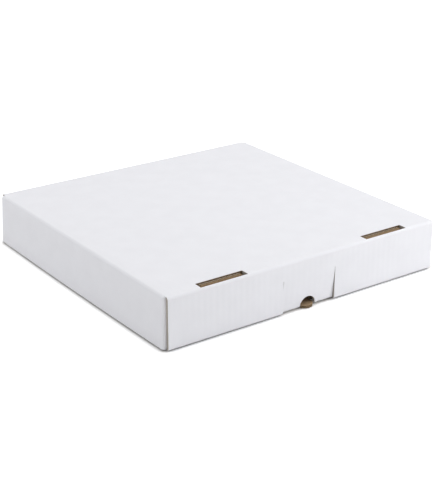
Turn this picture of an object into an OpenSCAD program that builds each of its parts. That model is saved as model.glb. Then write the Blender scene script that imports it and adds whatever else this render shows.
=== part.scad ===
// Square folder box for a pizza, folded from one die-cut sheet of corrugated board.
// The sheet is parted only at the two creases that move: the lid and its thumb tab.
// X is the width, -Y the front, +Z up, and the table is at Z zero.

/* [Box] */
// Outside width across the tops of the side walls
box_w = 305; // [220:1:460]
// Outside depth from the front wall to the back wall
box_d = 305; // [220:1:460]
// Outside height of the closed box
box_h = 50; // [42:1:80]

/* [Board] */
// Thickness of the board, which is the outside radius of each fold as well
board = 3; // [1.5:0.1:3.6]
// Air between two layers of the rolled front wall
layer_gap = 0.3; // [0.2:0.05:0.6]
// Height of the lid's rolled front edge over the table
roll_lift = 0.6; // [0.3:0.1:1.5]
// Height of the side walls' free edges over the table
wall_lift = 1.3; // [0.5:0.1:3]
// How far the front and back walls stop short of the box's width on each side
end_inset = 3.5; // [2.5:0.1:6]
// How far the front wall's outer layer stops short of the box's width on each side
front_inset = 2; // [1:0.1:6]
// Degrees by which the side walls splay outwards
splay_angle = 3; // [0:0.5:5]

/* [Lock slots] */
// Distance from the middle of the box to the near end of a slot, as a share of the box's width
slot_near_share = 0.221; // [0.2:0.001:0.26]
// Length of a slot as a share of the box's width
slot_length_share = 0.161; // [0.1:0.001:0.18]
// Play at each end of a lock tab in its slot
lock_play = 2.4; // [1:0.1:4]
// Opening left behind a lock tab
slot_clear = 1.8; // [0.8:0.1:3]
// Depth of a lock tab's end below the top face
lock_sink = 0.4; // [0.2:0.1:1]
// Chamfer on the corners of a lock tab
lock_chamfer = 1.2; // [0.5:0.1:2]

/* [Thumb tab] */
// Width of the thumb tab between its slits as a share of the box's width
tab_width_share = 0.194; // [0.15:0.001:0.25]
// Height of the tab's bend over the table as a share of the box's height
tab_height_share = 0.6; // [0.5:0.01:0.7]
// Width of each slit beside the tab
slit_gap = 0.6; // [0.4:0.1:1.2]
// Degrees by which the tab is pushed in
push_angle = 5; // [0:0.5:9]
// Most degrees the tab may be pushed in
push_limit = 12; // [10:0.5:12]
// Air at the tab's bend
bend_gap = 0.35; // [0.3:0.05:0.5]
// Half width of the notch in the tab's lower edge
notch_radius = 8.6; // [6:0.1:11]
// Height of the notch's straight sides
notch_rise = 2.2; // [0.5:0.1:3]

/* [Flaps] */
// Length of the front corner flaps as a share of the box's width
corner_flap_share = 0.2; // [0.1:0.01:0.26]
// Length of the rear corner flaps as a share of the box's width
rear_flap_share = 0.13; // [0.08:0.01:0.2]
// Height of the tuck flaps as a share of the box's height
tuck_height_share = 0.82; // [0.6:0.01:0.86]
// Slope of the tuck flaps' ends, run for each unit of height
tuck_taper_share = 0.3; // [0.1:0.01:0.5]
// Air between the tuck flaps and the walls round them
tuck_gap = 0.8; // [0.5:0.1:1.5]
// Room between neighbouring tuck flaps at a corner
corner_room = 2.5; // [1:0.1:5]

/* [Tongue] */
// Play between the half-moon tongue and the notch on each side
tongue_play = 1.2; // [0.8:0.1:2.5]
// How far the tongue shows in front of the front wall
tongue_reach = 0.6; // [0.2:0.1:5]

/* [Thumb window] */
// Room for a thumb beside the tongue, in the front tuck flap
window_room = 5.6; // [2:0.1:10]
// Height of the window's top edge as a share of the tuck flap's height
window_height_share = 0.34; // [0.3:0.01:0.5]
// Radius of the window's upper corners
window_round = 6; // [3:0.5:8]

/* [Hinge] */
// Air across the mitre of the lid's crease
hinge_gap = 0.45; // [0.4:0.05:0.8]

/* [Hidden] */
$fn = 96;
half_w = box_w / 2;
half_d = box_d / 2;
end_half = half_w - end_inset;
front_half = half_w - front_inset;
// How far a fold's section runs on into the panel that it springs from
root = 2 * board;
// The top panel's underside, where the upper folds have their axes
under_z = box_h - board;
// The rolled front wall, from its outer layer to its inner layer
roll_axis_z = roll_lift + board;
outer_back_y = -half_d + board;
inner_y = outer_back_y + board + 2 * layer_gap;
inner_back_y = inner_y + board;
// The straight part of a side wall between its two corner folds
side_front_y = outer_back_y + layer_gap + board;
side_back_y = half_d - board - layer_gap - board;
// The lock slots and the tabs in them
slot_near_x = box_w * slot_near_share;
slot_length = box_w * slot_length_share;
slot_back_y = inner_back_y + slot_clear;
// The thumb tab
tab_half = box_w * tab_width_share / 2;
tab_top_z = box_h * tab_height_share;
tab_length = tab_top_z - roll_lift;
tab_relief = bend_gap + board * tan(push_limit);
// The corner flaps inside the walls
flap_low = roll_axis_z + 2 * layer_gap;
corner_flap = box_w * corner_flap_share;
rear_flap = box_w * rear_flap_share;
// The bottom panel and its tuck flaps
tuck_half = half_w - board - tuck_gap;
tuck_front_y = inner_back_y + tuck_gap;
panel_front_y = tuck_front_y + board;
tuck_z = box_h * tuck_height_share;
tuck_slope = (tuck_z - board) * tuck_taper_share;
// The rear flaps swing over a quarter turn, so the side tuck flaps stop short of that sweep
sweep_room = box_h - board;
side_tuck_front = panel_front_y + corner_room;
side_tuck_back = half_d - sweep_room;
front_tuck_half = tuck_half - board - corner_room;
// The tongue, which is as wide as the notch lets it be
tongue_radius = notch_radius - tongue_play;
tongue_tip_y = -half_d - tongue_reach;
tongue_length = panel_front_y - tongue_tip_y;
// The thumb window round the tongue
window_half = tongue_radius + window_room;
window_z = tuck_z * window_height_share;

// A rectangle between two corners
module span(from, to) {
    translate(from)
        square(to - from);
}

// A wedge from the X axis up to the sweep, wider than a fold
module wedge(sweep) {
    reach = 2 * board;
    polygon([[0, 0], [reach, 0], [reach, reach], [reach * cos(sweep) / sin(sweep), reach]]);
}

// The round section of a fold, turned into its quadrant
module bend(axis, turn, sweep = 90) {
    translate(axis)
        rotate(turn)
            intersection() {
                circle(r = board);
                wedge(sweep);
            }
}

// A section drawn in Y and Z, drawn out along X to both sides of the middle
module along_x(half) {
    translate([-half, 0, 0])
        rotate([90, 0, 90])
            linear_extrude(2 * half)
                children();
}

// A section drawn in X and Z, drawn out along Y
module along_y(from, to) {
    translate([0, to, 0])
        rotate([90, 0, 0])
            linear_extrude(to - from)
                children();
}

// A shape and its mirror image across the middle of the box
module both_sides() {
    children();
    mirror([1, 0, 0])
        children();
}

// The half-moon tongue's outline, with its root on the X axis and its tip towards +Y
module tongue_outline(radius, length) {
    span([-radius, 0], [radius, length - radius]);
    translate([0, length - radius])
        circle(r = radius);
}

// The thumb window's outline in X and Z, open at its foot
module window_outline() {
    middle = window_half - window_round;
    span([-window_half, -board], [window_half, window_z - window_round]);
    span([-middle, -board], [middle, window_z]);
    both_sides()
        translate([middle, window_z - window_round])
            circle(r = window_round);
}

// The front wall's outer layer and the fold that carries it
module outer_section() {
    bend([outer_back_y, under_z], 90);
    span([-half_d, roll_axis_z], [outer_back_y, under_z]);
}

// The front strip from the top panel's edge down, round the roll and up inside
module front_section() {
    span([outer_back_y, under_z], [outer_back_y + root, box_h]);
    outer_section();
    bend([outer_back_y, roll_axis_z], 180);
    span([outer_back_y, roll_lift], [inner_y, roll_axis_z]);
    bend([inner_y, roll_axis_z], 270);
    span([inner_y, roll_axis_z], [inner_back_y, under_z - layer_gap]);
}

// One lock tab on the top edge of the inner layer
module lock_tab() {
    near = slot_near_x + lock_play;
    far = slot_near_x + slot_length - lock_play;
    tip = box_h - lock_sink;
    root = under_z - 2 * layer_gap;
    along_y(inner_y, inner_back_y)
        polygon([[near, root], [far, root], [far, tip - lock_chamfer], [far - lock_chamfer, tip],
                 [near + lock_chamfer, tip], [near, tip - lock_chamfer]]);
}

// The top panel and the rolled front wall, with the lock slots and the thumb tab's opening
module front_and_top() {
    difference() {
        union() {
            along_x(end_half)
                front_section();
            along_x(front_half)
                outer_section();
            translate([0, 0, under_z])
                linear_extrude(board)
                    span([-half_w + board, outer_back_y], [half_w - board, half_d - board]);
        }
        along_y(-half_d - board, tuck_front_y)
            span([-tab_half, -board], [tab_half, tab_top_z]);
        both_sides()
            translate([0, 0, under_z - layer_gap / 2])
                linear_extrude(root)
                    span([slot_near_x, outer_back_y], [slot_near_x + slot_length, slot_back_y]);
    }
    both_sides()
        lock_tab();
}

// What is trimmed off a corner flap of the given length, in X and Z from the top fold's axis
module flap_trim(length) {
    drop = length * sin(splay_angle);
    low = flap_low - under_z;
    end_low = low + drop + board;
    end_high = -drop / 2 - board - layer_gap;
    past = length + board;
    polygon([[0, -box_h], [past, -box_h], [past, end_low], [length, end_low], [0, low]]);
    polygon([[0, board], [past, board], [past, end_high], [length, end_high], [0, -layer_gap]]);
}

// A corner fold at the front end of the left wall with its flap, measured from the top fold's axis
module front_corner(length) {
    low = wall_lift - under_z;
    difference() {
        translate([0, side_front_y, low])
            linear_extrude(-low) {
                span([-board, 0], [0, root]);
                bend([0, 0], 180);
                span([0, -board], [length, 0]);
            }
        along_y(side_front_y - root, side_front_y + board / 2)
            flap_trim(length);
    }
}

// The rounded corner where the top fold and the front corner fold of the left wall meet
module corner_round(axis_x, sweep) {
    intersection() {
        translate([axis_x, side_front_y, under_z])
            rotate([90, 0, 0])
                sphere(r = board);
        along_y(side_front_y - root, side_front_y)
            translate([axis_x, under_z])
                rotate(90)
                    wedge(sweep);
    }
    translate([axis_x - board / 2, side_front_y - board / 2, under_z - board / 2])
        cube([board / 4, board, board]);
}

// The left side of the lid: its top fold, its splayed wall and the corners at both ends
module left_side() {
    axis_x = -half_w + board;
    sweep = 90 - splay_angle;
    low = wall_lift - under_z;
    along_y(side_front_y, side_back_y) {
        span([axis_x, under_z], [axis_x + root, box_h]);
        bend([axis_x, under_z], 90, sweep);
        translate([axis_x, under_z])
            rotate(-splay_angle)
                span([-board, low], [0, 0]);
    }
    translate([axis_x, 0, under_z])
        rotate([0, splay_angle, 0]) {
            front_corner(corner_flap);
            mirror([0, 1, 0])
                front_corner(rear_flap);
        }
    corner_round(axis_x, sweep);
    mirror([0, 1, 0])
        corner_round(axis_x, sweep);
}

// The lid's share of the crease at the top of the back wall
module lid_crease() {
    along_x(end_half)
        intersection() {
            union() {
                span([half_d - board - root, under_z], [half_d - board, box_h]);
                bend([half_d - board, under_z], 0);
            }
            translate([half_d - board, under_z])
                polygon([[-2 * root, 0], [0, 0], [root, root], [-2 * root, root]]);
        }
}

// The lid, with the top panel, the rolled front wall and the side walls
module lid() {
    color("white") {
        front_and_top();
        lid_crease();
        both_sides()
            left_side();
    }
}

// The thumb tab's section in Y and Z, measured from its bend on the outer face
module tab_section() {
    polygon([[0, -bend_gap], [board, -tab_relief], [board, -tab_length], [0, -tab_length]]);
}

// The notch in the tab's lower edge, drawn in X and Z from the bend
module notch_outline() {
    translate([0, notch_rise - tab_length])
        circle(r = notch_radius);
    span([-notch_radius, -tab_length - board], [notch_radius, notch_rise - tab_length]);
}

// The thumb tab cut out of the front wall and pushed in
module thumb_tab() {
    color("white")
        translate([0, -half_d, tab_top_z])
            rotate([push_angle, 0, 0])
                difference() {
                    along_x(tab_half - slit_gap)
                        tab_section();
                    along_y(-board, 2 * board)
                        notch_outline();
                }
}

// The bottom panel with the half-moon tongue at its front edge
module bottom_panel() {
    linear_extrude(board) {
        span([-tuck_half + board, panel_front_y], [tuck_half - board, half_d - board]);
        translate([0, panel_front_y])
            mirror([0, 1])
                tongue_outline(tongue_radius, tongue_length);
    }
}

// The back wall, its lower fold and its share of the lid's crease
module back_wall() {
    axis_y = half_d - board;
    along_x(end_half)
        intersection() {
            union() {
                span([axis_y - root, 0], [axis_y, board]);
                bend([axis_y, board], 270);
                span([axis_y, board], [half_d, under_z]);
                bend([axis_y, under_z], 0);
            }
            translate([axis_y, under_z - hinge_gap])
                polygon([[-2 * root, -2 * box_h], [2 * root, -2 * box_h], [2 * root, 2 * root], [0, 0],
                         [-2 * root, 0]]);
        }
}

// What is trimmed off the sloping end of a tuck flap, from its foot outwards and up
module tuck_trim() {
    polygon([[0, board], [tuck_slope, tuck_z], [tuck_slope, tuck_z + board], [-board, tuck_z + board],
             [-board, board]]);
}

// The left tuck flap with its fold
module left_tuck() {
    axis_x = -tuck_half + board;
    difference() {
        along_y(side_tuck_front, side_tuck_back) {
            span([axis_x, 0], [axis_x + root, board]);
            bend([axis_x, board], 180);
            span([-tuck_half, board], [axis_x, tuck_z]);
        }
        translate([-tuck_half - board, 0, 0])
            rotate([90, 0, 90])
                linear_extrude(3 * board) {
                    translate([side_tuck_front, 0])
                        tuck_trim();
                    translate([side_tuck_back, 0])
                        mirror([1, 0])
                            tuck_trim();
                }
    }
}

// The front tuck flap with its fold and the thumb window
module front_tuck() {
    difference() {
        along_x(front_tuck_half) {
            span([panel_front_y, 0], [panel_front_y + root, board]);
            bend([panel_front_y, board], 180);
            span([tuck_front_y, board], [panel_front_y, tuck_z]);
        }
        along_y(tuck_front_y - board, panel_front_y + board)
            window_outline();
        along_y(tuck_front_y - board, panel_front_y + board)
            both_sides()
                translate([-front_tuck_half, 0])
                    tuck_trim();
    }
}

// The base, with the bottom panel, the back wall and the three tuck flaps
module base() {
    color("white") {
        bottom_panel();
        back_wall();
        front_tuck();
        both_sides()
            left_tuck();
    }
}

base();
lid();
thumb_tab();
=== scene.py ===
"""A square pizza box, folded from one die-cut sheet of corrugated board.

Every piece starts as a flat blank that is cut to its outline, given the board's thickness and
folded along its creases. So the white liner, the brown liner, the cut edges and the rounds of
the folds come out where the real sheet has them.
"""

import logging
import math
from collections.abc import Callable, Iterable, Sequence
from dataclasses import dataclass, field
from enum import IntEnum

import bmesh
import bpy
from mathutils import Matrix, Vector


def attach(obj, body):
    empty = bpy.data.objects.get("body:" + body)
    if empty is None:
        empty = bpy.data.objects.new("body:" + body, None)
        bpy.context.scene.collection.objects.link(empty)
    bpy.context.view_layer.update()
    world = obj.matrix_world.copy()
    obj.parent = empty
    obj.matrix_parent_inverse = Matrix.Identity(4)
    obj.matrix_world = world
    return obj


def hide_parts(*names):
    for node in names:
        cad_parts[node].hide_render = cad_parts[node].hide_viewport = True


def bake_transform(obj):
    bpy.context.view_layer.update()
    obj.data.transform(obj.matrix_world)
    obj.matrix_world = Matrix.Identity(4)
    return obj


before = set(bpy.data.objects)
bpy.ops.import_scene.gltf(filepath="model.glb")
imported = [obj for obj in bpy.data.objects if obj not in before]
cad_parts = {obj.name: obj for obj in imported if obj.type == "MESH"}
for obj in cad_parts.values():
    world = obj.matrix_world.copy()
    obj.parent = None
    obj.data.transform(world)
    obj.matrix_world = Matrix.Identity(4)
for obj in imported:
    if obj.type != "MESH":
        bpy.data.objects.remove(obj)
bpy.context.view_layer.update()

LOG = logging.getLogger("pizza_box")
MM = 0.001
SQUARE = 90.0
QUARTER = math.radians(SQUARE)
WHITE = (1.0, 1.0, 1.0, 1.0)
ARC_STEPS = 24

# Distance between the crests of the flutes, in millimetres.
FLUTE_PITCH = 6.3

# The whole range of a share, and the range in which most of a noise lies.
UNIT = (0.0, 1.0)
BODY = (0.3, 0.7)

Point = tuple[float, float]
Triple = tuple[float, float, float]
Colour = Triple
Turns = Callable[[Vector], bool]
Material = bpy.types.Material
Finishes = Sequence[Material]
Socket = bpy.types.NodeSocket


class Axis(IntEnum):
    """The two directions of a flat blank."""

    U = 0
    V = 1


Seams = Sequence[tuple[Axis, float]]


class Skin(IntEnum):
    """The three kinds of surface on a sheet of board, in the order of its material slots."""

    OUTSIDE = 0
    INSIDE = 1
    CUT = 2


@dataclass(frozen=True)
class BoxSizes:
    """Sizes of the folded box in metres, as the solid model has them."""

    width: float = 305 * MM
    depth: float = 305 * MM
    height: float = 50 * MM
    board: float = 3 * MM
    layer_gap: float = 0.3 * MM
    roll_lift: float = 0.6 * MM
    end_inset: float = 3.5 * MM
    front_inset: float = 2 * MM
    hinge_lap: float = 3 * MM

    @property
    def run(self) -> float:
        """Flat length that a right-angled fold takes up on the outside."""
        return QUARTER * self.board

    @property
    def crease_x(self) -> float:
        """Where the folds of the side walls begin, from the middle."""
        return self.width / 2 - self.board

    @property
    def crease_y(self) -> float:
        """Where the folds of the front and back walls begin, from the middle."""
        return self.depth / 2 - self.board

    @property
    def end_half(self) -> float:
        """Half the length of the back wall and of the front wall's inner layer."""
        return self.width / 2 - self.end_inset

    @property
    def front_half(self) -> float:
        """Half the length of the front wall's outer layer."""
        return self.width / 2 - self.front_inset

    @property
    def under_z(self) -> float:
        """Height of the top panel's underside."""
        return self.height - self.board

    @property
    def roll_z(self) -> float:
        """Height of the axes of the roll along the front wall's foot."""
        return self.roll_lift + self.board

    @property
    def roll_width(self) -> float:
        """Flat length of the roll between its two folds."""
        return self.board + 2 * self.layer_gap

    @property
    def inner_back_y(self) -> float:
        """Back face of the front wall's inner layer."""
        return -self.crease_y + self.roll_width + self.board


@dataclass(frozen=True)
class Crease:
    """One fold of a blank.

    The fold begins at a place on the axis that it crosses, and turns what lies past it towards
    the inside of the sheet. Its round keeps the length of the outside.
    """

    axis: Axis
    start: float
    way: int
    radius: float
    run: float
    sweep: Callable[[float], float]
    turns: Turns

    def past(self, flat: Vector) -> float:
        """How far a flat point lies past the fold's start, or zero where nothing is folded."""
        reach = self.way * (flat[self.axis] - self.start)
        return max(reach, 0.0) if self.turns(flat) else 0.0

    def fold(self, place: Vector, flat: Vector) -> Vector:
        """Folds one point.

        Args:
            place: The point after the folds nearer to the sheet's edge.
            flat: The same point on the flat blank.

        Returns:
            The point after this fold.
        """
        past = self.past(flat)
        if past == 0.0:
            return place
        full = math.radians(self.sweep(flat[1 - self.axis]))
        turn = full * min(past / self.run, 1.0)
        rest = 0.0
        if past > self.run:
            rest = self.way * (place[self.axis] - self.start) - self.run
        lever = self.radius + place.z
        folded = place.copy()
        reach = lever * math.sin(turn) + rest * math.cos(turn)
        folded[self.axis] = self.start + self.way * reach
        folded.z = lever * math.cos(turn) - rest * math.sin(turn) - self.radius
        return folded


def always(_: float) -> float:
    """A right angle all along the fold."""
    return SQUARE


def everywhere(_: Vector) -> bool:
    """Every point of a blank."""
    return True


def square_fold(
    sizes: BoxSizes, axis: Axis, start: float, way: int, turns: Turns = everywhere
) -> Crease:
    """A right-angled fold, sharp inside and as round outside as the board is thick."""
    return Crease(axis, start, way, sizes.board, sizes.run, always, turns)


def span(way: int, near: float, far: float) -> list[float]:
    """Two places on one side of the middle, the lower one first."""
    return sorted((way * near, way * far))


def stations(low: float, high: float, count: int) -> list[float]:
    """Places from low to high, both included, in a count of even steps."""
    return [low + (high - low) * step / count for step in range(count + 1)]


def arc(centre: Point, radius: float, first: float, last: float, steps: int) -> list[Point]:
    """Points along an arc of an outline, between two angles in degrees."""
    angles = [math.radians(angle) for angle in stations(first, last, steps)]
    return [(centre[0] + radius * math.cos(a), centre[1] + radius * math.sin(a)) for a in angles]


def box_outline(low: Point, high: Point) -> list[Point]:
    """Corners of a rectangle, anticlockwise, from its lowest and its highest one."""
    return [low, (high[0], low[1]), high, (low[0], high[1])]


@dataclass
class Blank:
    """A flat piece of board that is cut to shape, thickened and folded."""

    name: str
    board: float
    rim: float = 0.16 * MM
    grain: float = 11 * MM
    cut_reach: float = 0.0001 * MM
    join_reach: float = 0.01 * MM
    weld_reach: float = 0.002 * MM
    seam_reach: float = 0.02 * MM
    cut_tilt: float = 0.5
    liner_tilt: float = 0.3
    sharp_angle: float = 32.0
    mesh: bmesh.types.BMesh = field(default_factory=bmesh.new)

    def panel(self, outline: Sequence[Point]) -> None:
        """Adds one panel, whose corners are given anticlockwise."""
        corners = [self.mesh.verts.new((u, v, 0.0)) for u, v in outline]
        self.mesh.faces.new(corners)

    def rule(self, axis: Axis, places: Iterable[float]) -> None:
        """Cuts every panel along lines across one axis, and along a regular grid between them.

        Args:
            axis: The axis that the lines cross.
            places: Where the lines lie.
        """
        lines = sorted(set(places))
        ends = [vert.co[axis] for vert in self.mesh.verts]
        count = math.ceil((max(ends) - min(ends)) / self.grain)
        for place in stations(min(ends), max(ends), count):
            if min(abs(place - line) for line in lines) > self.grain / 3:
                lines.append(place)
        across = Vector((0.0, 0.0, 0.0))
        across[axis] = 1.0
        for place in lines:
            parts = self.mesh.verts[:] + self.mesh.edges[:] + self.mesh.faces[:]
            line = across * place
            bmesh.ops.bisect_plane(
                self.mesh, geom=parts, dist=self.cut_reach, plane_co=line, plane_no=across
            )

    def punch(self, low: Point, high: Point) -> None:
        """Takes out a rectangle whose sides have been ruled.

        Args:
            low: Corner with the lowest coordinates.
            high: Corner with the highest coordinates.
        """
        waste = []
        for face in self.mesh.faces:
            middle = face.calc_center_median()
            if low[0] < middle.x < high[0] and low[1] < middle.y < high[1]:
                waste.append(face)
        bmesh.ops.delete(self.mesh, geom=waste, context="FACES")

    def thicken(self, seams: Seams = ()) -> None:
        """Joins the panels, gives them the board's thickness and eases the cut edges.

        Args:
            seams: Lines along which the sheet goes on in another piece, so that the edge there
                stays sharp.
        """
        bmesh.ops.remove_doubles(self.mesh, verts=self.mesh.verts[:], dist=self.join_reach)
        self.mesh.normal_update()
        bmesh.ops.solidify(self.mesh, geom=self.mesh.faces[:], thickness=self.board)
        self.mesh.normal_update()
        eased = [edge for edge in self.mesh.edges if self.on_rim(edge, seams)]
        bmesh.ops.bevel(
            self.mesh,
            geom=eased,
            offset=self.rim,
            offset_type="OFFSET",
            segments=1,
            profile=0.5,
            affect="EDGES",
            material=-1,
            clamp_overlap=True,
        )
        self.mesh.normal_update()
        across = self.mesh.faces.layers.float.new("across")
        for face in self.mesh.faces:
            face.smooth = True
            face.material_index = self.skin_of(face)
            face[across] = abs(face.normal.y)

    def on_rim(self, edge: bmesh.types.BMEdge, seams: Seams) -> bool:
        """Whether an edge lies between a liner and a cut.

        Args:
            edge: The edge.
            seams: Lines along which no edge counts.

        Returns:
            True for an edge of a cut.
        """
        tilts = [abs(face.normal.z) > self.cut_tilt for face in edge.link_faces]
        if len(tilts) != 2 or tilts[0] == tilts[1]:
            return False
        for axis, place in seams:
            if all(abs(vert.co[axis] - place) < self.seam_reach for vert in edge.verts):
                return False
        return True

    def skin_of(self, face: bmesh.types.BMFace) -> Skin:
        """The kind of surface of one face of the flat sheet.

        Args:
            face: The face.

        Returns:
            Its kind.
        """
        depth = face.calc_center_median().z
        if face.normal.z > self.liner_tilt and depth > -2 * self.rim:
            return Skin.OUTSIDE
        if face.normal.z < -self.liner_tilt and depth < 2 * self.rim - self.board:
            return Skin.INSIDE
        return Skin.CUT

    def fold(self, creases: Sequence[Crease]) -> None:
        """Folds the sheet, and keeps each point's place on the flat blank for the finishes.

        Args:
            creases: The folds, those nearest to the sheet's edge first.
        """
        blank = self.mesh.verts.layers.float_vector.new("blank")
        fold_marks = self.mesh.verts.layers.float.new("fold")
        for vert in self.mesh.verts:
            flat = vert.co.copy()
            place = flat
            # Share of a fold's round at each point: it sets the painted highlight along the folds
            # and the cracks there.
            crease_highlight_and_wear = 0.0
            for crease in creases:
                share = crease.past(flat) / crease.run
                if 0.0 < share < 1.0:
                    sharpness = crease.sweep(flat[1 - crease.axis]) / SQUARE
                    crease_highlight_and_wear = max(crease_highlight_and_wear, sharpness * math.sin(math.pi * share))
                place = crease.fold(place, flat)
            vert[blank] = flat / MM
            vert[fold_marks] = crease_highlight_and_wear
            vert.co = place
        bmesh.ops.remove_doubles(self.mesh, verts=self.mesh.verts[:], dist=self.weld_reach)

    def to_object(self, placing: Matrix, finishes: Finishes) -> bpy.types.Object:
        """Makes the folded sheet a finished object.

        Args:
            placing: Moves the sheet from the blank's frame to the box's frame.
            finishes: The materials in the order of Skin.

        Returns:
            The object, at the origin.
        """
        bmesh.ops.transform(self.mesh, matrix=placing, verts=self.mesh.verts[:])
        data = bpy.data.meshes.new(self.name)
        self.mesh.to_mesh(data)
        self.mesh.free()
        data.set_sharp_from_angle(angle=math.radians(self.sharp_angle))
        for finish in finishes:
            data.materials.append(finish)
        piece = bpy.data.objects.new(self.name, data)
        bpy.context.scene.collection.objects.link(piece)
        return piece


@dataclass(frozen=True)
class Grain:
    """A noise of a finish: grains in a millimetre, octaves, and a factor on each coordinate."""

    scale: float
    detail: float
    stretch: Triple = (1.0, 1.0, 1.0)


@dataclass(frozen=True)
class Stain:
    """A colour that comes in as a value rises through a range, up to a share."""

    colour: Colour
    rise: Point
    share: float


class NodeGraph:
    """The nodes of one material, or of the world."""

    noise_roughness: float = 0.55
    mix_colours: tuple[int, int] = (6, 7)
    mix_result: int = 2

    def __init__(self, owner: Material | bpy.types.World) -> None:
        """Opens the nodes, which start as one plain shader.

        Args:
            owner: The new material or world.
        """
        owner.use_nodes = True
        self.owner = owner
        self.tree = owner.node_tree
        self.shader = next(node for node in self.tree.nodes if node.outputs)

    def add(self, kind: str, **settings: object) -> bpy.types.Node:
        """Adds a node.

        Args:
            kind: The node's type without its ShaderNode prefix.
            settings: Properties of the node, by name.

        Returns:
            The node.
        """
        node = self.tree.nodes.new("ShaderNode" + kind)
        for name, value in settings.items():
            setattr(node, name, value)
        return node

    def wire(self, source: Socket, target: Socket) -> None:
        """Links two sockets."""
        self.tree.links.new(source, target)

    def attribute(self, name: str) -> bpy.types.Node:
        """Adds a node that reads one of the sheet's own attributes."""
        return self.add("Attribute", attribute_type="GEOMETRY", attribute_name=name)

    def axes(self, where: Socket) -> bpy.types.Node:
        """Adds a node that parts a place into its coordinates.

        Args:
            where: The place.

        Returns:
            The node, with outputs X, Y and Z.
        """
        node = self.add("SeparateXYZ")
        self.wire(where, node.inputs["Vector"])
        return node

    def noise(self, where: Socket, grain: Grain) -> Socket:
        """Adds a noise.

        Args:
            where: Coordinates in millimetres.
            grain: Its scale, detail and stretch.

        Returns:
            The noise's value.
        """
        mapping = self.add("Mapping")
        mapping.inputs["Scale"].default_value = grain.stretch
        self.wire(where, mapping.inputs["Vector"])
        node = self.add("TexNoise")
        node.inputs["Scale"].default_value = grain.scale
        node.inputs["Detail"].default_value = grain.detail
        node.inputs["Roughness"].default_value = self.noise_roughness
        self.wire(mapping.outputs["Vector"], node.inputs["Vector"])
        return node.outputs["Fac"]

    def math(self, kind: str, first: Socket, second: Socket | float = 0.0) -> Socket:
        """Adds a sum on one or two values.

        Args:
            kind: Name of the operation.
            first: First value.
            second: Second value, a socket or a number.

        Returns:
            The result.
        """
        node = self.add("Math", operation=kind)
        self.wire(first, node.inputs[0])
        if isinstance(second, float):
            node.inputs[1].default_value = second
        else:
            self.wire(second, node.inputs[1])
        return node.outputs[0]

    def fit(self, value: Socket, source: Point, target: Point) -> Socket:
        """Maps a value smoothly from one range to another.

        Args:
            value: The value.
            source: The range that it comes from.
            target: The range that it is mapped to.

        Returns:
            The mapped value.
        """
        node = self.add("MapRange", interpolation_type="SMOOTHSTEP")
        self.wire(value, node.inputs["Value"])
        ends = ("From Min", "From Max", "To Min", "To Max")
        for end, place in zip(ends, (*source, *target)):
            node.inputs[end].default_value = place
        return node.outputs["Result"]

    def blend(self, share: Socket, first: Socket | Colour, second: Socket | Colour) -> Socket:
        """Mixes two colours.

        Args:
            share: How much of the second colour shows.
            first: First colour, a socket or a constant.
            second: Second colour, a socket or a constant.

        Returns:
            The mixed colour.
        """
        node = self.add("Mix", data_type="RGBA")
        self.wire(share, node.inputs[0])
        for index, colour in zip(self.mix_colours, (first, second)):
            if isinstance(colour, tuple):
                node.inputs[index].default_value = (*colour, 1.0)
            else:
                self.wire(colour, node.inputs[index])
        return node.outputs[self.mix_result]

    def stain(self, value: Socket, tint: Socket | Colour, stain: Stain) -> Socket:
        """Lays a stain over a tint, as far as a value brings it in."""
        return self.blend(self.fit(value, stain.rise, (0.0, stain.share)), tint, stain.colour)

    def flutes(self, across: Socket) -> Socket:
        """The wave of the flutes, from -1 to 1, at a place across them in millimetres."""
        return self.math("SINE", self.math("MULTIPLY", across, 2 * math.pi / FLUTE_PITCH))

    def bump(self, height: Socket, depth: float, under: Socket | None = None) -> Socket:
        """Adds relief.

        Args:
            height: Height from zero to one.
            depth: What one stands for, in metres.
            under: Relief that this one lies on.

        Returns:
            The normal.
        """
        node = self.add("Bump")
        node.inputs["Distance"].default_value = depth
        self.wire(height, node.inputs["Height"])
        if under is not None:
            self.wire(under, node.inputs["Normal"])
        return node.outputs["Normal"]

    def dress(self, tint: Socket, roughness: Socket, relief: Socket, specular: float) -> Material:
        """Gives the shader the looks of a paper.

        Args:
            tint: Its colour.
            roughness: Its roughness.
            relief: Its normal.
            specular: Its specular level.

        Returns:
            The finished material.
        """
        self.wire(tint, self.shader.inputs["Base Color"])
        self.wire(roughness, self.shader.inputs["Roughness"])
        self.wire(relief, self.shader.inputs["Normal"])
        self.shader.inputs["Specular IOR Level"].default_value = specular
        return self.owner


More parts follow.
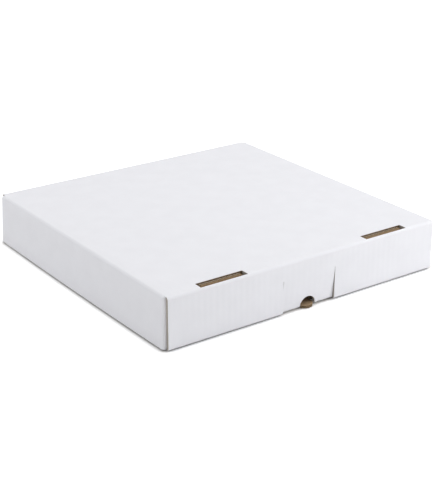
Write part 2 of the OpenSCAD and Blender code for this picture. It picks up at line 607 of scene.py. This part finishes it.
@dataclass(frozen=True)
class WhiteLiner:
    """The smooth white paper on the outside, over the faint ribs of the flutes."""

    pale: Colour = (0.838, 0.840, 0.876)
    clouds: Stain = Stain((0.818, 0.819, 0.855), BODY, 1.0)
    mottling: Stain = Stain((0.818, 0.819, 0.855), (0.45, 0.8), 0.5)
    fibre: Stain = Stain((0.72, 0.71, 0.735), (0.62, 0.78), 0.35)
    # Painted highlight: a paler white laid along the rounds of the folds, where light catches
    # them.
    crease: Stain = Stain((0.846, 0.848, 0.884), (0.0, 0.9), 1.0)
    cloud_grain: Grain = Grain(0.05, 4.0)
    mottle_grain: Grain = Grain(0.6, 3.0)
    fibre_grain: Grain = Grain(1.0, 3.0, (0.7, 3.2, 1.0))
    crack_grain: Grain = Grain(1.6, 3.0)
    roughness: Point = (0.5, 0.66)
    specular: float = 0.32
    rib_depth: float = 0.015 * MM
    fibre_depth: float = 0.03 * MM
    crack_depth: float = 0.10 * MM

    def build(self) -> Material:
        """Makes the material."""
        graph = NodeGraph(bpy.data.materials.new("white_liner"))
        where = graph.attribute("blank").outputs["Vector"]
        fold = graph.attribute("fold").outputs["Fac"]
        mottle = graph.noise(where, self.mottle_grain)
        fibres = graph.noise(where, self.fibre_grain)
        tint = graph.stain(graph.noise(where, self.cloud_grain), self.pale, self.clouds)
        tint = graph.stain(mottle, tint, self.mottling)
        tint = graph.stain(fibres, tint, self.fibre)
        # Painted highlight: the white is made paler along the rounds of the folds.
        tint = graph.stain(fold, tint, self.crease)
        ribs = graph.bump(graph.flutes(graph.axes(where).outputs["X"]), self.rib_depth)
        fold_marks = graph.math("MULTIPLY", graph.noise(where, self.crack_grain), fold)
        creased = graph.bump(fold_marks, self.crack_depth, ribs)
        relief = graph.bump(fibres, self.fibre_depth, creased)
        roughness = graph.fit(mottle, BODY, self.roughness)
        return graph.dress(tint, roughness, relief, self.specular)


@dataclass(frozen=True)
class KraftLiner:
    """The brown paper on the inside, with the long fibres and flecks of unbleached pulp."""

    pale: Colour = (0.54, 0.385, 0.245)
    clouds: Stain = Stain((0.43, 0.288, 0.17), BODY, 0.5)
    fibre: Stain = Stain((0.43, 0.288, 0.17), (0.4, 0.7), 0.6)
    straw: Stain = Stain((0.64, 0.50, 0.345), (0.64, 0.76), 0.6)
    fleck: Stain = Stain((0.22, 0.135, 0.075), (0.66, 0.74), 0.7)
    cloud_grain: Grain = Grain(0.09, 4.0)
    fibre_grain: Grain = Grain(0.9, 4.0, (0.45, 3.4, 1.0))
    straw_grain: Grain = Grain(0.6, 2.0, (1.1, 3.1, 2.0))
    fleck_grain: Grain = Grain(0.75, 2.0, (0.6, 2.4, 1.0))
    roughness: Point = (0.72, 0.88)
    specular: float = 0.22
    rib_depth: float = 0.05 * MM
    fibre_depth: float = 0.05 * MM

    def build(self) -> Material:
        """Makes the material."""
        graph = NodeGraph(bpy.data.materials.new("kraft_liner"))
        where = graph.attribute("blank").outputs["Vector"]
        fibres = graph.noise(where, self.fibre_grain)
        tint = graph.stain(graph.noise(where, self.cloud_grain), self.pale, self.clouds)
        tint = graph.stain(fibres, tint, self.fibre)
        tint = graph.stain(graph.noise(where, self.straw_grain), tint, self.straw)
        tint = graph.stain(graph.noise(where, self.fleck_grain), tint, self.fleck)
        ribs = graph.bump(graph.flutes(graph.axes(where).outputs["X"]), self.rib_depth)
        relief = graph.bump(fibres, self.fibre_depth, ribs)
        roughness = graph.fit(fibres, BODY, self.roughness)
        return graph.dress(tint, roughness, relief, self.specular)


@dataclass(frozen=True)
class CutEdge:
    """The cut through the board: two liners with a waved medium between them.

    Places on the cut are in millimetres, as on the flat blank.
    """

    board: float = 3.0
    liner: float = 0.36
    medium: float = 0.34
    liner_fade: float = 0.06
    medium_fade: Point = (0.204, 0.408)
    top_fade: Point = (-0.34, -0.16)
    seam_fade: Point = (0.2, 0.75)
    across_fade: Point = (0.25, 0.6)
    pulp: Colour = (0.36, 0.26, 0.158)
    top_pulp: Colour = (0.76, 0.73, 0.71)
    # Painted shade: the dark colour laid in the hollows between the flutes; it also speckles the
    # pulp at random.
    hollow_shade_and_speck: Colour = (0.19, 0.133, 0.076)
    pressed: Colour = (0.50, 0.475, 0.45)
    seam: Colour = (0.34, 0.305, 0.265)
    fuzz_grain: Grain = Grain(2.2, 3.0)
    fuzz_share: float = 0.55
    fuzz_depth: float = 0.1 * MM
    hollow_depth: float = 0.4 * MM
    roughness: Point = (0.8, 0.95)
    specular: float = 0.15

    def waves(self, graph: NodeGraph, where: bpy.types.Node) -> Socket:
        """Where paper shows on a cut across the flutes.

        Args:
            graph: The material's nodes.
            where: The place on the flat blank, as three values.

        Returns:
            One on the liners and the medium, zero in the hollows.
        """
        swing = (self.board - 2 * self.liner - self.medium) / 2
        crest = graph.math("MULTIPLY", graph.flutes(where.outputs["X"]), swing)
        middle = graph.math("ADD", where.outputs["Z"], self.board / 2)
        apart = graph.math("ABSOLUTE", graph.math("SUBTRACT", middle, crest))
        waved = graph.fit(apart, self.medium_fade, UNIT[::-1])
        rim = self.board / 2 - self.liner
        fade = (rim - self.liner_fade, rim + self.liner_fade)
        lined = graph.fit(graph.math("ABSOLUTE", middle), fade, UNIT)
        return graph.math("MAXIMUM", waved, lined)

    def build(self) -> Material:
        """Makes the material."""
        graph = NodeGraph(bpy.data.materials.new("cut_edge"))
        blank = graph.attribute("blank").outputs["Vector"]
        where = graph.axes(blank)
        paper = self.waves(graph, where)
        fuzz = graph.noise(blank, self.fuzz_grain)
        rough = graph.fit(fuzz, BODY, (0.0, self.fuzz_share))
        outside = graph.fit(where.outputs["Z"], self.top_fade, UNIT)
        pulp = graph.blend(rough, self.pulp, self.hollow_shade_and_speck)
        # Painted shade: where no paper shows between the flutes, the hollows get the dark colour.
        cut = graph.blend(paper, self.hollow_shade_and_speck, graph.blend(outside, pulp, self.top_pulp))
        middle = graph.math("ABSOLUTE", graph.math("ADD", where.outputs["Z"], self.board / 2))
        closed = graph.fit(middle, self.seam_fade, UNIT)
        pressed = graph.blend(rough, self.pressed, self.seam)
        pressed = graph.blend(closed, self.seam, pressed)
        pressed = graph.blend(outside, pressed, self.top_pulp)
        across = graph.fit(graph.attribute("across").outputs["Fac"], self.across_fade, UNIT)
        tint = graph.blend(across, pressed, cut)
        relief = graph.bump(graph.math("MULTIPLY", paper, across), self.hollow_depth)
        relief = graph.bump(fuzz, self.fuzz_depth, relief)
        roughness = graph.fit(fuzz, BODY, self.roughness)
        return graph.dress(tint, roughness, relief, self.specular)


@dataclass(frozen=True)
class Splay:
    """Degrees that a side wall leans outwards at its ends, and its bow in the middle."""

    front: float
    back: float
    bow: float

    def lean(self, share: float) -> float:
        """Degrees from upright at a place along the wall, from -1 at the front to 1."""
        inside = max(min(share, 1.0), -1.0)
        straight = self.front + (self.back - self.front) * (inside + 1) / 2
        return straight + self.bow * (1 - inside * inside)


@dataclass
class LidSheet:
    """The lid: top panel, rolled and locked front wall, bowed side walls and corner flaps."""

    sizes: BoxSizes
    slot_near: float = 67.405 * MM
    slot_far: float = 116.51 * MM
    slot_clear: float = 1.0 * MM
    lock_play: float = 2.4 * MM
    lock_sink: float = 1.2 * MM
    lock_chamfer: float = 1.2 * MM
    tab_half: float = 29.585 * MM
    tab_top: float = 30 * MM
    tab_lap: float = 3 * MM
    corner_flap: float = 61 * MM
    rear_flap: float = 39.65 * MM
    lift_front: float = 1.6 * MM
    lift_back: float = 1.3 * MM
    left: Splay = Splay(2.0, 3.4, 1.6)
    right: Splay = Splay(5.5, 3.2, 0.6)
    fold_steps: int = 8

    @property
    def side_end(self) -> float:
        """Where the straight part of a side wall ends, from the middle."""
        return self.sizes.crease_y - self.sizes.layer_gap - self.sizes.board

    @property
    def wall_top(self) -> float:
        """Flat place where the front wall's outer layer begins."""
        return -self.sizes.crease_y - self.sizes.run

    @property
    def wall_foot(self) -> float:
        """Flat place where the front wall's outer layer ends at the roll."""
        return self.wall_top - self.sizes.under_z + self.sizes.roll_z

    @property
    def web_end(self) -> float:
        """Flat place where the web under the roll ends."""
        return self.wall_foot - self.sizes.run - self.sizes.roll_width

    @property
    def inner_foot(self) -> float:
        """Flat place where the inner layer begins."""
        return self.web_end - self.sizes.run

    @property
    def inner_top(self) -> float:
        """Flat place of the inner layer's top edge, under the top panel."""
        return self.inner_foot - self.sizes.under_z + self.sizes.layer_gap + self.sizes.roll_z

    @property
    def side_fold(self) -> float:
        """Flat place where the folds of the side walls end."""
        return self.sizes.crease_x + self.sizes.run

    @property
    def flap_depth(self) -> float:
        """How far below their folds the corner flaps reach."""
        return self.sizes.under_z - self.sizes.roll_z - 2 * self.sizes.layer_gap

    @property
    def slot_back(self) -> float:
        """Flat place of the back edge of the lock slots."""
        return self.sizes.inner_back_y + self.slot_clear

    @property
    def lock_ends(self) -> Point:
        """Where a lock tab begins and ends, from the middle."""
        return self.slot_near + self.lock_play, self.slot_far - self.lock_play

    def side_foot(self, way: int) -> float:
        """Flat place of a side wall's free edge, at its front end for a way of -1, or its back."""
        lift = self.lift_front if way < 0 else self.lift_back
        return self.side_fold + self.sizes.under_z - lift

    def splay(self, side: int) -> Splay:
        """The splay of the left wall, for a side of -1, or of the right one."""
        return self.left if side < 0 else self.right

    @property
    def strip_half(self) -> float:
        """Half the width that the folds of the front strip carry along."""
        return self.sizes.front_half + self.sizes.layer_gap / 4

    @property
    def relief(self) -> float:
        """How far round the folds the corner flaps and the slots begin, on the flat blank."""
        return 2 * self.sizes.run / self.fold_steps

    @property
    def ear_end(self) -> float:
        """Flat place where the board at a front corner ends, just behind the front strip."""
        return -self.sizes.crease_y + self.sizes.layer_gap

    def in_strip(self, flat: Vector) -> bool:
        """Whether a point of the blank belongs to the front strip."""
        return abs(flat.x) < self.strip_half and flat.y < self.ear_end - self.sizes.layer_gap / 2

    def beside_strip(self, flat: Vector) -> bool:
        """Whether a point of the blank lies beside the front strip."""
        return abs(flat.x) > self.strip_half

    def front_crease(self) -> Crease:
        """The fold between the top panel and the front wall."""
        return self.strip_crease(-self.sizes.crease_y)

    def strip_crease(self, start: float) -> Crease:
        """The fold across the front strip that begins at a flat place."""
        return square_fold(self.sizes, Axis.V, start, -1, self.in_strip)

    def side_crease(self, side: int) -> Crease:
        """The fold between the top panel and a side wall, which leans as the wall does.

        Args:
            side: Side of the box, -1 for the left.

        Returns:
            The fold.
        """
        sizes = self.sizes
        lean = self.splay(side).lean
        return Crease(
            Axis.U,
            side * sizes.crease_x,
            side,
            sizes.board,
            sizes.run,
            lambda along: SQUARE - lean(along / self.side_end),
            lambda flat: side * flat.x > sizes.crease_x and not self.in_strip(flat),
        )

    def creases(self) -> list[Crease]:
        """Every fold of the lid, those nearest to the sheet's edge first."""
        folds = [self.strip_crease(start) for start in (self.web_end, self.wall_foot)]
        folds.append(self.front_crease())
        for way in (-1, 1):
            end = way * self.side_end
            folds.append(square_fold(self.sizes, Axis.V, end, way, self.beside_strip))
        return folds + [self.side_crease(side) for side in (-1, 1)]

    def front_panels(self, blank: Blank) -> None:
        """Adds the front strip with its lock tabs.

        Args:
            blank: The lid's blank.
        """
        half, outer = self.sizes.end_half, self.sizes.front_half
        web = self.wall_foot - self.sizes.run
        blank.panel(box_outline((-half, self.inner_top), (half, web)))
        blank.panel(box_outline((-outer, web), (outer, -self.sizes.crease_y)))
        tip = self.inner_top - self.sizes.board - self.sizes.layer_gap + self.lock_sink
        cut = self.lock_chamfer
        for way in (-1, 1):
            low, high = span(way, *self.lock_ends)
            left = [(low, self.inner_top), (low, tip + cut), (low + cut, tip)]
            right = [(high - cut, tip), (high, tip + cut), (high, self.inner_top)]
            blank.panel(left + right)

    def side_panels(self, blank: Blank) -> None:
        """Adds both side walls with their corner flaps.

        Args:
            blank: The lid's blank.
        """
        crease, fold = self.sizes.crease_x, self.side_fold
        for side in (-1, 1):
            low, high = span(side, crease, fold)
            blank.panel(box_outline((low, -self.side_end), (high, self.side_end)))
            low, high = span(side, crease, crease + self.relief)
            blank.panel(box_outline((low, self.ear_end), (high, -self.side_end)))
            wall = [
                (side * fold, -self.side_end),
                (side * self.side_foot(-1), -self.side_end),
                (side * self.side_foot(1), self.side_end),
                (side * fold, self.side_end),
            ]
            blank.panel(wall[::side])
            for way, length in ((-1, self.corner_flap), (1, self.rear_flap)):
                low, high = span(side, crease + self.relief, self.side_foot(way))
                near, far = span(way, self.side_end, self.side_end + self.sizes.run)
                blank.panel(box_outline((low, near), (high, far)))
                blank.panel(self.flap_outline(side, way, length))

    def flap_outline(self, side: int, way: int, length: float) -> list[Point]:
        """Outline of one corner flap, which tapers to its end.

        Args:
            side: Side of the box, -1 for the left.
            way: End of the wall, -1 for the front.
            length: Length of the flap.

        Returns:
            Its corners, anticlockwise.
        """
        sizes = self.sizes
        fold = self.side_fold
        low = fold + self.flap_depth
        drop = length * math.sin(math.radians(self.splay(side).lean(way)))
        root = self.side_end + sizes.run
        corners = [
            (fold + 2 * sizes.layer_gap, root),
            (self.side_foot(way), root),
            (low, root + sizes.board / 2),
            (low - drop - sizes.board, root + length),
            (fold + drop / 2 + sizes.board + sizes.layer_gap, root + length),
        ]
        placed = [(side * u, way * v) for u, v in corners]
        return placed if side * way > 0 else placed[::-1]

    def rules(self) -> tuple[list[float], list[float]]:
        """Lines along which the blank is cut so that its panels meet point to point.

        Returns:
            Places across the width and places across the depth.
        """
        sizes = self.sizes
        fold = self.side_fold
        half_u = stations(sizes.crease_x, fold, self.fold_steps)
        half_u += [fold + 2 * sizes.layer_gap, fold + self.flap_depth]
        half_u += [sizes.end_half, sizes.front_half, self.tab_half]
        half_u += [self.slot_near, self.slot_far, *self.lock_ends]
        across_u = half_u + [-place for place in half_u]
        across_v = [self.side_end, -self.side_end, self.inner_top, self.slot_back, self.ear_end]
        for start in (self.side_end, -self.side_end - sizes.run):
            across_v += stations(start, start + sizes.run, self.fold_steps)
        for start in (-sizes.crease_y, self.wall_foot, self.web_end):
            across_v += stations(start - sizes.run, start, self.fold_steps)
        across_v += self.opening()
        return across_u, across_v

    def opening(self) -> tuple[float, float]:
        """Flat places of the thumb tab's opening, from its inner end to its outer end."""
        inner = self.inner_foot - self.tab_top + self.sizes.roll_z
        outer = self.wall_top - self.sizes.under_z + self.tab_top + self.tab_lap
        return inner, outer

    def build(self, finishes: Finishes) -> bpy.types.Object:
        """Makes the lid.

        Args:
            finishes: The board's materials.

        Returns:
            The lid's object.
        """
        sizes = self.sizes
        blank = Blank("lid_sheet", sizes.board)
        back = sizes.crease_y - sizes.hinge_lap
        blank.panel(box_outline((-sizes.crease_x, -sizes.crease_y), (sizes.crease_x, back)))
        self.front_panels(blank)
        self.side_panels(blank)
        across_u, across_v = self.rules()
        blank.rule(Axis.U, across_u)
        blank.rule(Axis.V, across_v)
        slot_front = -sizes.crease_y - self.relief
        for way in (1, -1):
            low, high = span(way, self.slot_near, self.slot_far)
            blank.punch((low, slot_front), (high, self.slot_back))
        inner, outer = self.opening()
        blank.punch((-self.tab_half, inner), (self.tab_half, outer))
        blank.thicken(((Axis.V, back), (Axis.V, outer)))
        blank.fold(self.creases())
        piece = blank.to_object(Matrix.Translation((0, 0, sizes.height)), finishes)
        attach(piece, "lid")
        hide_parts("lid")
        return piece


@dataclass
class ThumbTab:
    """The tab that is pushed into the front wall, with its round notch."""

    lid: LidSheet
    slit: float = 0.35 * MM
    notch_radius: float = 8.6 * MM
    notch_rise: float = 1.6 * MM
    foot_lift: float = 1.6 * MM
    push: float = 5.0
    bend_radius: float = 40 * MM
    bend_steps: int = 6
    grain: float = 3 * MM

    def outline(self) -> list[Point]:
        """Outline of the tab on the flat blank, anticlockwise."""
        half = self.lid.tab_half - self.slit
        ground = self.lid.wall_top - self.lid.sizes.under_z + self.lid.sizes.roll_lift
        foot = ground + self.foot_lift
        top = self.lid.opening()[1]
        notch = arc((0.0, ground + self.notch_rise), self.notch_radius, 180, 0, ARC_STEPS)
        corners = [(-half, top), (-half, foot), (-self.notch_radius, foot)]
        return corners + notch + [(self.notch_radius, foot), (half, foot), (half, top)]

    def bend(self) -> Crease:
        """The gentle bend at the top of the tab."""
        run = self.bend_radius * math.radians(self.push)
        start = self.lid.wall_top - self.lid.sizes.under_z + self.lid.tab_top + run / 2
        radius = self.bend_radius
        return Crease(Axis.V, start, -1, radius, run, lambda _: self.push, everywhere)

    def build(self, finishes: Finishes) -> bpy.types.Object:
        """Makes the thumb tab.

        Args:
            finishes: The board's materials.

        Returns:
            The tab's object.
        """
        sizes = self.lid.sizes
        blank = Blank("thumb_tab_sheet", sizes.board, grain=self.grain)
        blank.panel(self.outline())
        bend = self.bend()
        blank.rule(Axis.V, stations(bend.start - bend.run, bend.start, self.bend_steps))
        blank.rule(Axis.U, [0.0])
        blank.thicken(((Axis.V, self.lid.opening()[1]),))
        blank.fold([bend, self.lid.front_crease()])
        piece = blank.to_object(Matrix.Translation((0, 0, sizes.height)), finishes)
        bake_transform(piece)
        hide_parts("thumb_tab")
        return piece


@dataclass
class BaseSheet:
    """The base: bottom panel, back wall, three tuck flaps and the half-moon tongue."""

    sizes: BoxSizes
    tuck_half: float = 148.7 * MM
    tuck_top: float = 41 * MM
    tuck_slope: float = 11.4 * MM
    side_front: float = -136.6 * MM
    side_back: float = 105.5 * MM
    front_half: float = 143.2 * MM
    panel_front: float = -139.1 * MM
    tongue_half: float = 8.0 * MM
    tongue_length: float = 14 * MM
    window_half: float = 13 * MM
    window_round: float = 6 * MM
    window_top: float = 13.94 * MM
    heel: float = 6 * MM
    fold_steps: int = 8
    round_steps: int = 10

    @property
    def side_crease(self) -> float:
        """Where the folds of the side flaps begin, from the middle."""
        return self.tuck_half - self.sizes.board

    def off_tongue(self, flat: Vector) -> bool:
        """Whether a point of the blank lies outside the tongue."""
        round_v = -self.panel_front + self.tongue_length - self.tongue_half
        reach = math.hypot(flat.x, max(flat.y - round_v, 0.0))
        return reach >= self.tongue_half + self.sizes.layer_gap

    def by_sides(self, flat: Vector) -> bool:
        """Whether a point of the blank lies within the length of the side flaps."""
        return abs(flat.y) < -self.side_front + self.sizes.board / 4

    def creases(self) -> list[Crease]:
        """Every fold of the base."""
        sizes = self.sizes
        folds = []
        for way in (-1, 1):
            folds.append(square_fold(sizes, Axis.U, way * self.side_crease, way, self.by_sides))
        folds.append(square_fold(sizes, Axis.V, -self.panel_front, 1, self.off_tongue))
        folds.append(square_fold(sizes, Axis.V, -sizes.crease_y, -1))
        return folds

    def front_panels(self, blank: Blank) -> None:
        """Adds the front flap, with the window for a thumb above the tongue, and the tongue.

        Args:
            blank: The base's blank.
        """
        sizes = self.sizes
        foot = -self.panel_front
        fold = foot + sizes.run
        top = fold + self.tuck_top - sizes.board
        blank.panel(box_outline((-self.front_half, foot), (-self.window_half, fold)))
        blank.panel(box_outline((self.window_half, foot), (self.front_half, fold)))
        corners = [(self.front_half, fold), (self.front_half - self.tuck_slope, top)]
        corners += [(self.tuck_slope - self.front_half, top), (-self.front_half, fold)]
        blank.panel(corners + self.window(fold))
        tip_v = foot + self.tongue_length - self.tongue_half
        blank.panel(
            [(-self.tongue_half, foot), (self.tongue_half, foot)]
            + arc((0.0, tip_v), self.tongue_half, 0, 180, ARC_STEPS)
        )

    def window(self, foot: float) -> list[Point]:
        """Outline of the window in the front flap, from its left foot to its right foot.

        Args:
            foot: Flat place of the window's lower edge.

        Returns:
            The points in order.
        """
        middle = self.window_half - self.window_round
        round_v = foot + self.window_top - self.sizes.board - self.window_round
        left = arc((-middle, round_v), self.window_round, 180, 90, self.round_steps)
        right = arc((middle, round_v), self.window_round, 90, 0, self.round_steps)
        return [(-self.window_half, foot), *left, *right, (self.window_half, foot)]

    def side_panels(self, blank: Blank) -> None:
        """Adds both side flaps.

        Args:
            blank: The base's blank.
        """
        sizes = self.sizes
        fold = self.side_crease + sizes.run
        top = fold + self.tuck_top - sizes.board
        low, high = -self.side_back, -self.side_front
        for side in (-1, 1):
            inner, outer = span(side, self.side_crease, fold)
            blank.panel(box_outline((inner, low), (outer, high)))
            corners = [
                (side * fold, low),
                (side * top, low + self.tuck_slope),
                (side * top, high - self.tuck_slope),
                (side * fold, high),
            ]
            blank.panel(corners if side > 0 else corners[::-1])

    def rules(self) -> tuple[list[float], list[float]]:
        """Lines along which the blank is cut so that its panels meet point to point.

        Returns:
            Places across the width and places across the depth.
        """
        sizes = self.sizes
        half_u = stations(self.side_crease, self.side_crease + sizes.run, self.fold_steps)
        half_u += [self.tongue_half, self.window_half, self.front_half]
        across_u = half_u + [-place for place in half_u]
        across_v = [-self.side_front, -self.side_back, self.heel - sizes.crease_y]
        across_v += stations(-sizes.crease_y - sizes.run, -sizes.crease_y, self.fold_steps)
        across_v += stations(-self.panel_front, -self.panel_front + sizes.run, self.fold_steps)
        return across_u, across_v

    def build(self, finishes: Finishes) -> bpy.types.Object:
        """Makes the base.

        Args:
            finishes: The board's materials.

        Returns:
            The base's object.
        """
        sizes = self.sizes
        blank = Blank("base_sheet", sizes.board)
        back = -sizes.crease_y
        wall_top = back - sizes.run - sizes.under_z + sizes.hinge_lap + sizes.board
        heel = back + self.heel
        side, end = self.side_crease, sizes.end_half
        blank.panel(box_outline((-side, heel), (side, -self.panel_front)))
        blank.panel(box_outline((-end, wall_top), (end, heel)))
        self.front_panels(blank)
        self.side_panels(blank)
        across_u, across_v = self.rules()
        blank.rule(Axis.U, across_u)
        blank.rule(Axis.V, across_v)
        blank.thicken(((Axis.V, wall_top),))
        blank.fold(self.creases())
        piece = blank.to_object(Matrix.Rotation(math.pi, 4, "X"), finishes)
        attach(piece, "base")
        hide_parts("base")
        return piece


@dataclass
class HingeCrease:
    """The crease between the back wall and the lid, folded at a right angle."""

    sizes: BoxSizes
    fold_steps: int = 12
    lap_steps: int = 4

    def build(self, finishes: Finishes) -> bpy.types.Object:
        """Makes the crease.

        Args:
            finishes: The board's materials.

        Returns:
            The crease's object.
        """
        sizes = self.sizes
        lap = sizes.hinge_lap
        start, end = sizes.crease_y, sizes.crease_y + sizes.run
        blank = Blank("hinge_crease", sizes.board)
        blank.panel(box_outline((-sizes.end_half, start - lap), (sizes.end_half, end + lap)))
        rows = stations(start - lap, start, self.lap_steps)
        rows += stations(start, end, self.fold_steps)
        rows += stations(end, end + lap, self.lap_steps)
        blank.rule(Axis.V, rows)
        blank.rule(Axis.U, [0.0])
        blank.thicken(((Axis.V, start - lap), (Axis.V, end + lap)))
        blank.fold([square_fold(sizes, Axis.V, start, 1)])
        piece = blank.to_object(Matrix.Translation((0, 0, sizes.height)), finishes)
        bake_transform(piece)
        return piece


@dataclass(frozen=True)
class Lamp:
    """A soft square lamp that points at the box."""

    name: str
    place: Triple
    size: float
    watts: float

    def hang(self) -> None:
        """Adds the lamp to the scene."""
        data = bpy.data.lights.new(self.name, "AREA")
        data.size = self.size
        data.energy = self.watts
        lamp = bpy.data.objects.new(self.name, data)
        lamp.location = self.place
        lamp.rotation_euler = Vector(self.place).to_track_quat("Z", "Y").to_euler()
        bpy.context.scene.collection.objects.link(lamp)


@dataclass
class Studio:
    """Floor, light and camera."""

    target: Vector = field(default_factory=lambda: Vector((14.785, 9.874, 0.0)) * MM)
    azimuth: float = -35.423
    elevation: float = 22.566
    distance: float = 1228.22 * MM
    lens: float = 88.9
    sensor: float = 36.0
    floor_size: float = 4.0
    floor_drop: float = 0.2 * MM
    floor_roughness: float = 0.9
    floor_specular: float = 0.1
    floor_tone: Point = (0.9, 1.28)
    # Painted shade on the floor under and beside the box.
    painted_shade_tone: float = 0.5
    painted_shade_fade: Point = (0.15, 0.45)
    near_fade: Point = (0.5, 1.0)
    shade_reach: float = 8 * MM
    shade_rays: int = 16
    near_glow: float = 0.3
    far_fade: Point = (0.3, 1.6)
    far_glow: float = 0.4
    sky: float = 0.465
    lamps: tuple[Lamp, ...] = (
        Lamp("overhead", (0.35, 0.1, 1.5), 1.2, 10.0),
        Lamp("side", (0.75, -0.75, 0.35), 0.5, 4.4),
        Lamp("window", (-1.2, 0.5, 0.7), 0.8, 3.6),
    )

    def place_camera(self) -> None:
        """Sets the camera at the photograph's angle."""
        data = bpy.data.cameras.new("camera")
        data.lens = self.lens
        data.sensor_width = self.sensor
        camera = bpy.data.objects.new("camera", data)
        bpy.context.scene.collection.objects.link(camera)
        turn, rise = math.radians(self.azimuth), math.radians(self.elevation)
        level = math.cos(rise)
        back = Vector((math.sin(turn) * level, -math.cos(turn) * level, math.sin(rise)))
        camera.location = self.target + back * self.distance
        camera.rotation_euler = back.to_track_quat("Z", "Y").to_euler()
        bpy.context.scene.camera = camera

    def seen(self, graph: NodeGraph) -> Socket:
        """One for rays from the camera, in gloss and through glass, zero for light on the box.

        Args:
            graph: The nodes that need it.

        Returns:
            The value.
        """
        rays = graph.add("LightPath")
        seen = graph.math("MAXIMUM", rays.outputs["Is Camera Ray"], rays.outputs["Is Glossy Ray"])
        return graph.math("MAXIMUM", seen, rays.outputs["Is Transmission Ray"])

    def floor(self) -> None:
        """Lays a plain white floor that keeps the box's shadow, with painted shade near the box,
        where its colour darkens and its glow fades out.
        """
        shape = bmesh.new()
        bmesh.ops.create_grid(shape, x_segments=1, y_segments=1, size=self.floor_size / 2)
        data = bpy.data.meshes.new("floor")
        shape.to_mesh(data)
        shape.free()
        graph = NodeGraph(bpy.data.materials.new("floor_paper"))
        seen = self.seen(graph)
        graph.shader.inputs["Roughness"].default_value = self.floor_roughness
        graph.shader.inputs["Specular IOR Level"].default_value = self.floor_specular
        graph.shader.inputs["Emission Color"].default_value = WHITE
        axes = graph.axes(graph.add("TexCoord").outputs["Object"])
        aside = graph.math("ABSOLUTE", axes.outputs["X"])
        away = graph.math("MAXIMUM", aside, graph.math("ABSOLUTE", axes.outputs["Y"]))
        shade = graph.add("AmbientOcclusion", samples=self.shade_rays)
        shade.inputs["Distance"].default_value = self.shade_reach
        bare = shade.outputs["AO"]
        tone = graph.fit(seen, UNIT, self.floor_tone)
        # Painted shade: where ambient occlusion finds the box close by, the floor's colour is
        # darkened.
        under = graph.fit(bare, self.painted_shade_fade, (self.painted_shade_tone, 1.0))
        tone = graph.math("MULTIPLY", tone, under)
        graph.wire(tone, graph.shader.inputs["Base Color"])
        # Painted shade: the glow fades out where the box is close by.
        near = graph.fit(bare, self.near_fade, (0.0, self.near_glow))
        far = graph.fit(away, self.far_fade, (0.0, self.far_glow))
        glow = graph.math("MULTIPLY", seen, graph.math("ADD", near, far))
        graph.wire(glow, graph.shader.inputs["Emission Strength"])
        data.materials.append(graph.owner)
        ground = bpy.data.objects.new("floor", data)
        ground.location.z = -self.floor_drop
        bpy.context.scene.collection.objects.link(ground)

    def backdrop(self) -> None:
        """Sets a white backdrop and an even light all round."""
        graph = NodeGraph(bpy.data.worlds.new("studio"))
        bpy.context.scene.world = graph.owner
        level = graph.fit(self.seen(graph), UNIT, (self.sky, 1.0))
        graph.wire(level, graph.shader.inputs["Strength"])
        graph.shader.inputs["Color"].default_value = WHITE

    def build(self) -> None:
        """Makes the whole studio."""
        bpy.context.scene.view_settings.view_transform = "Standard"
        self.place_camera()
        self.backdrop()
        self.floor()
        for lamp in self.lamps:
            lamp.hang()
        LOG.info("studio ready")


def main() -> None:
    """Builds the box and its studio."""
    logging.basicConfig(level=logging.INFO)
    sizes = BoxSizes()
    finishes = [WhiteLiner().build(), KraftLiner().build(), CutEdge().build()]
    lid = LidSheet(sizes)
    for sheet in (lid, ThumbTab(lid), BaseSheet(sizes), HingeCrease(sizes)):
        piece = sheet.build(finishes)
        LOG.info("%s: %d faces", piece.name, len(piece.data.polygons))
    Studio().build()


if __name__ == "__main__":
    main()
